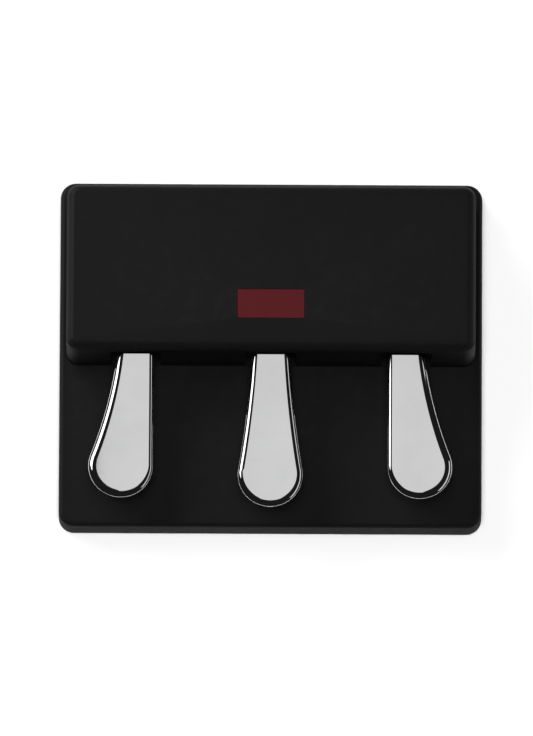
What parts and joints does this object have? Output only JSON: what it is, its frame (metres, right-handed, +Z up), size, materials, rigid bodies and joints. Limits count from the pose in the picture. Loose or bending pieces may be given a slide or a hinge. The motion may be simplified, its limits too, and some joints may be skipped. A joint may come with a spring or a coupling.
{
  "type": "triple pedal unit",
  "caption": "Low floor unit with sprung chrome foot pedals in a row, standing out of slots in a black cover box on a wide non-slip base.",
  "frame": {"origin": "on the floor under the middle of the base", "axes": "+X to the player's right, +Y away from the player to the rear, +Z up"},
  "size_m": [0.3, 0.25, 0.0803],
  "materials": {
    "satin_black": "moulded in black, satin, fine eroded grain",
    "satin_black_housing": "moulded in black, satin, fine eroded grain",
    "pedal_chrome": "polished chrome plate on a zinc casting",
    "red_enamel": "dark red lacquer, bare",
    "mat_rubber": "ribbed non-slip rubber",
    "black_rubber": "smooth rubber",
    "bottom_steel": "black painted steel sheet",
    "zinc_steel": "zinc-plated pressed steel",
    "screw_steel": "plated steel",
    "spring_steel": "oiled spring steel",
    "white_nylon": "natural nylon",
    "black_nylon": "moulded nylon",
    "grey_felt": "pressed wool felt",
    "board_green": "solder mask over glass laminate",
    "gland_black": "moulded nylon"
  },
  "bodies": {
    "base": {"base_cover": "satin_black", "bottom_plate": "bottom_steel", "rubber_mat": "mat_rubber", "housing_cover": "satin_black_housing", "badge_plate": "red_enamel", "circuit_board": "board_green", "board_spacers": "white_nylon", "optical_sensors": "black_nylon", "cable_header": "white_nylon", "cable_gland": "gland_black", "gland_nut": "gland_black", "bottom_screws": "screw_steel", "housing_screws": "screw_steel", "bracket_screws": "screw_steel", "board_screws": "screw_steel", "left_pivot_pin": "screw_steel", "left_pin_clips": "spring_steel", "left_pivot_bracket": "zinc_steel", "left_return_spring": "spring_steel", "left_press_felt": "grey_felt", "left_rest_buffer": "black_rubber", "middle_pivot_pin": "screw_steel", "middle_pin_clips": "spring_steel", "middle_pivot_bracket": "zinc_steel", "middle_return_spring": "spring_steel", "middle_press_felt": "grey_felt", "middle_rest_buffer": "black_rubber", "right_pivot_pin": "screw_steel", "right_pin_clips": "spring_steel", "right_pivot_bracket": "zinc_steel", "right_return_spring": "spring_steel", "right_press_felt": "grey_felt", "right_rest_buffer": "black_rubber"},
    "left_pedal_body": {"left_pedal": "pedal_chrome", "left_lever": "zinc_steel", "left_lever_screws": "screw_steel", "left_bushes": "white_nylon", "left_flag": "black_nylon"},
    "middle_pedal_body": {"middle_pedal": "pedal_chrome", "middle_lever": "zinc_steel", "middle_lever_screws": "screw_steel", "middle_bushes": "white_nylon", "middle_flag": "black_nylon"},
    "right_pedal_body": {"right_pedal": "pedal_chrome", "right_lever": "zinc_steel", "right_lever_screws": "screw_steel", "right_bushes": "white_nylon", "right_flag": "black_nylon"}
  },
  "joints": [
    {"name": "left_pedal_hinge", "type": "hinge", "parent": "base", "child": "left_pedal_body", "pos_m": [-0.0958, 0.056, 0.046], "axis": [1, 0, 0], "range_deg": [0, 7], "stiffness_Nm_per_rad": 5, "springref_deg": -11.46, "deforming": ["left_return_spring"]},
    {"name": "middle_pedal_hinge", "type": "hinge", "parent": "base", "child": "middle_pedal_body", "pos_m": [0, 0.056, 0.046], "axis": [1, 0, 0], "range_deg": [0, 7], "stiffness_Nm_per_rad": 5, "springref_deg": -11.46, "deforming": ["middle_return_spring"]},
    {"name": "right_pedal_hinge", "type": "hinge", "parent": "base", "child": "right_pedal_body", "pos_m": [0.0958, 0.056, 0.046], "axis": [1, 0, 0], "range_deg": [0, 7], "stiffness_Nm_per_rad": 5, "springref_deg": -11.46, "deforming": ["right_return_spring"]}
  ]
}
